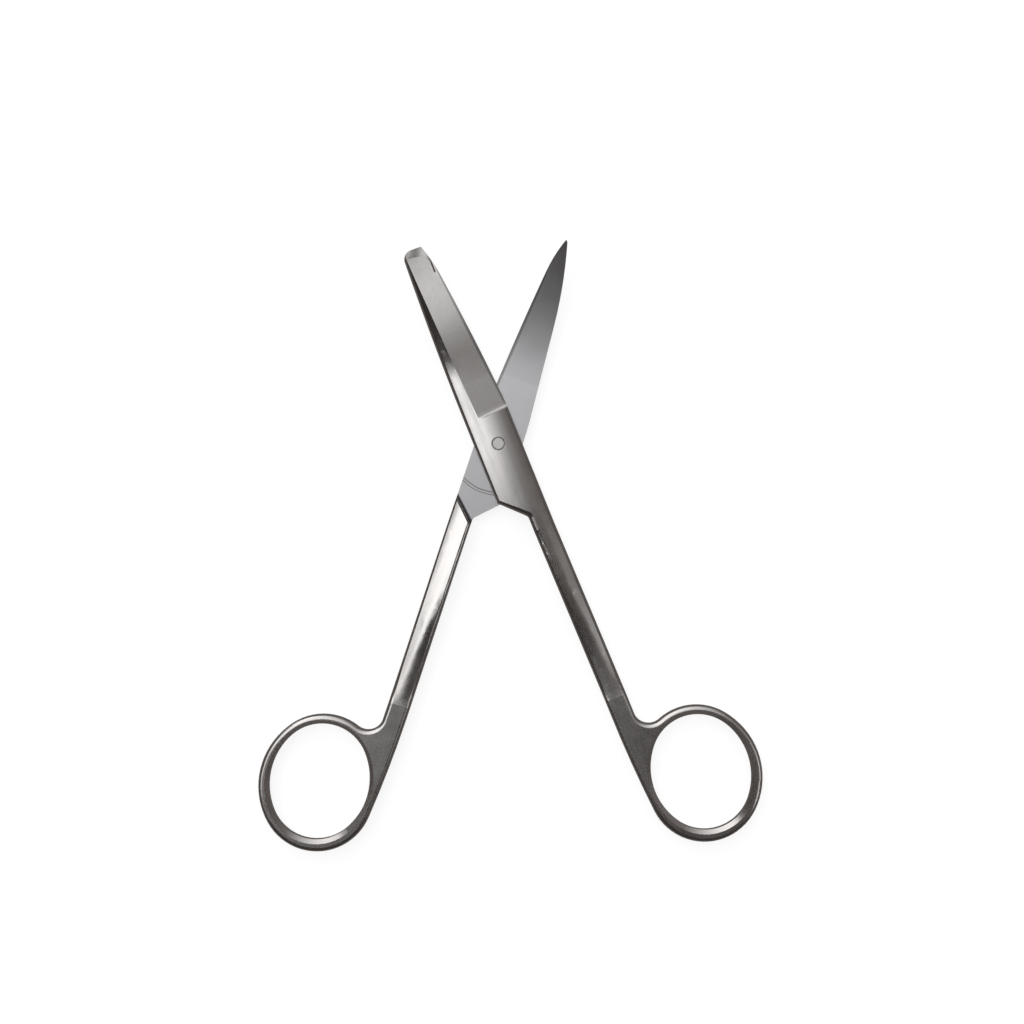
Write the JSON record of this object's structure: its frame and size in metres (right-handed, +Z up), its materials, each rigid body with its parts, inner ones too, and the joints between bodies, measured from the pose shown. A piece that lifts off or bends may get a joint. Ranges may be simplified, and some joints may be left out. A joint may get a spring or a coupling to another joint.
{
  "type": "operating scissors",
  "caption": "Curved operating scissors, one blade tip blunt and the other sharp, lapped screw joint, slim shanks and oval finger rings, lying half open.",
  "frame": {"origin": "on the pivot axis, at the face of the screw head that rests on the table", "axes": "+Y towards the blade tips, midway between the two halves; +Z up from the table along the pivot axis, towards the side the blades curve to; the blunt half is the upper one and leans to -X"},
  "size_m": [0.112, 0.1335, 0.0105],
  "materials": {
    "half_steel": "satin, finely brushed",
    "screw_steel": "satin, ground"
  },
  "bodies": {
    "lower": {"sharp_half": "half_steel"},
    "upper": {"blunt_half": "half_steel", "pivot_screw": "screw_steel"}
  },
  "joints": [
    {"name": "pivot", "type": "hinge", "parent": "lower", "child": "upper", "pos_m": [0, 0, 0.0026], "axis": [0, 0, 1], "range_deg": [-40.7, 49.3]}
  ]
}
